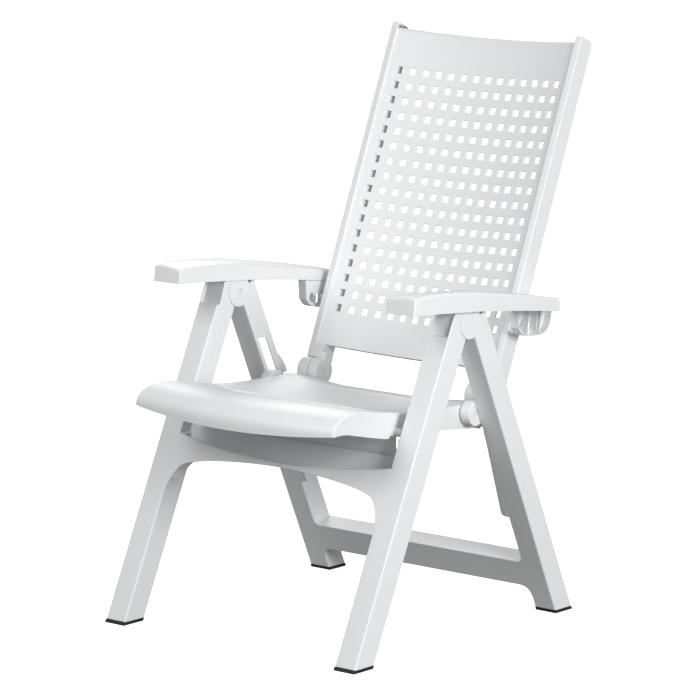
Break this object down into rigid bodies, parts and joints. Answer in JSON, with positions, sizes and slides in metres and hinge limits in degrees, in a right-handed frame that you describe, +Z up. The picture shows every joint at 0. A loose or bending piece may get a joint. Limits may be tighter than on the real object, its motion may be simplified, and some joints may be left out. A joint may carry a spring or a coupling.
{
  "type": "folding armchair",
  "caption": "High-back folding armchair in moulded plastic: crossed leg frames, perforated reclining back hinged to the seat, lifting armrests with ratchet plates.",
  "frame": {"origin": "centre of the footprint on the floor, the middle of the bounding box's base", "axes": "+Z up, +X across the chair to the right seen from the front camera side, -Y towards the front of the seat"},
  "size_m": [0.636, 0.7964, 1.0799],
  "materials": {
    "white_plastic": "satin moulded",
    "pin_plastic": "satin moulded",
    "foot_rubber": "matt",
    "screw_steel": "plated"
  },
  "bodies": {
    "front_frame": {"front_leg_frame": "white_plastic", "front_foot_pad_left": "foot_rubber", "front_foot_pad_right": "foot_rubber", "leg_pivot_pin_left": "pin_plastic", "leg_pivot_pin_right": "pin_plastic", "arm_pivot_pin_left": "pin_plastic", "arm_pivot_pin_right": "pin_plastic"},
    "rear_frame": {"rear_leg_frame": "white_plastic", "rear_foot_pad_left": "foot_rubber", "rear_foot_pad_right": "foot_rubber", "seat_pivot_pin_left": "pin_plastic", "seat_pivot_pin_right": "pin_plastic"},
    "seat": {"seat_shell": "white_plastic", "back_hinge_pin_left": "pin_plastic", "back_hinge_pin_right": "pin_plastic"},
    "back": {"backrest": "white_plastic", "ratchet_peg_left": "pin_plastic", "ratchet_peg_right": "pin_plastic"},
    "arm_left": {"armrest_left": "white_plastic", "ratchet_plate_left": "white_plastic", "ratchet_screws_left": "screw_steel"},
    "arm_right": {"armrest_right": "white_plastic", "ratchet_plate_right": "white_plastic", "ratchet_screws_right": "screw_steel"}
  },
  "joints": [
    {"name": "leg_fold", "type": "hinge", "parent": "front_frame", "child": "rear_frame", "pos_m": [0, -0.06492, 0.594], "axis": [-1, 0, 0], "range_deg": [0, 48]},
    {"name": "seat_fold", "type": "hinge", "parent": "rear_frame", "child": "seat", "pos_m": [0, 0.01478, 0.408], "axis": [-1, 0, 0], "range_deg": [0, 66]},
    {"name": "back_recline", "type": "hinge", "parent": "seat", "child": "back", "pos_m": [0, 0.09478, 0.424], "axis": [-1, 0, 0], "range_deg": [-106, 29]},
    {"name": "arm_lift_left", "type": "hinge", "parent": "front_frame", "child": "arm_left", "pos_m": [-0.28, -0.07752, 0.628], "axis": [1, 0, 0], "range_deg": [0, 45]},
    {"name": "arm_lift_right", "type": "hinge", "parent": "front_frame", "child": "arm_right", "pos_m": [0.28, -0.07752, 0.628], "axis": [1, 0, 0], "range_deg": [0, 45]}
  ],
  "couplings": [
    {"joint": "seat_fold", "follows": "leg_fold", "ratio": 1.375}
  ]
}
